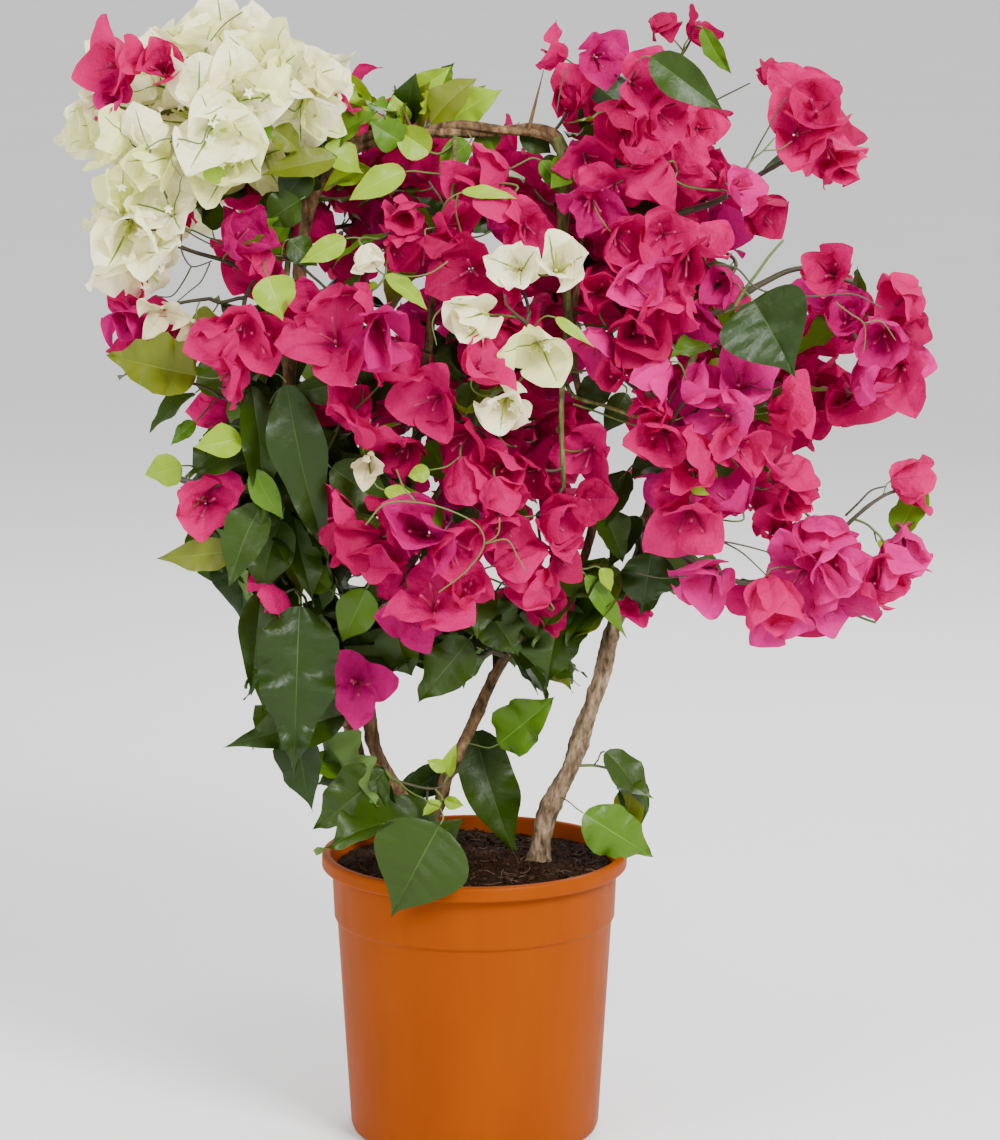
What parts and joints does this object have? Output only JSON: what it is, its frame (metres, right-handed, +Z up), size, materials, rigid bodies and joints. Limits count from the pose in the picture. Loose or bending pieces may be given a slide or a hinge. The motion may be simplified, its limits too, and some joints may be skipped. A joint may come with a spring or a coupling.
{
  "type": "potted bougainvillea bush",
  "caption": "Flowering climbing shrub in a plastic nursery pot: woody stems rise from compost, spread like a fan and carry masses of rose and creamy white bracts and leaves.",
  "frame": {"origin": "centre of the flat underside of the pot, on the surface that the pot stands on", "axes": "+Z up along the pot's axis, -Y towards the front of the plant, +X to the right as seen from the front"},
  "size_m": [0.4822, 0.224, 0.6265],
  "materials": {
    "pot": "satin moulded polypropylene in terracotta orange",
    "soil": "moist dark brown peat compost, crumbly",
    "bark": "furrowed grey-brown bark, green-brown on young boughs",
    "rose": "papery rose-magenta bracts with fine veins",
    "white": "papery cream bracts with pale green veins",
    "leaf": "glossy dark green leaves, lighter green when young"
  },
  "bodies": {
    "root": {"back_crown": "rose", "back_heart": "rose", "back_left": "leaf", "back_low": "leaf", "back_right": "rose", "back_upper_right": "rose", "bough_drop": "bark", "bough_far_upper": "bark", "bough_left_rise": "bark", "bough_low": "bark", "bough_low_tip": "bark", "bough_outer": "bark", "bough_spill": "bark", "bough_top": "bark", "leaf_crest": "leaf", "leaf_foot_back": "leaf", "leaf_foot_front": "leaf", "leaf_foot_left": "leaf", "leaf_foot_mid": "leaf", "leaf_foot_right": "leaf", "leaf_hanging": "leaf", "leaf_left_low": "leaf", "leaf_left_mid": "leaf", "leaf_left_tip": "leaf", "leaf_right_low": "leaf", "leaf_shoulder": "leaf", "leaf_skirt": "leaf", "pot": "pot", "rose_far_upper": "rose", "rose_heart_left": "rose", "rose_heart_mid": "rose", "rose_heart_upper": "rose", "rose_left_fall": "rose", "rose_left_tip": "rose", "rose_low_spray": "rose", "rose_low_tip": "rose", "rose_outer_right": "rose", "rose_right_low": "rose", "rose_right_mid": "rose", "rose_skirt": "rose", "rose_top": "rose", "rose_top_tip": "rose", "soil": "soil", "stem_left_inner": "bark", "stem_left_outer": "bark", "stem_middle": "bark", "stem_right": "bark", "trunk_left": "bark", "white_crown": "white", "white_heart": "white", "white_spill": "white"}
  },
  "joints": []
}
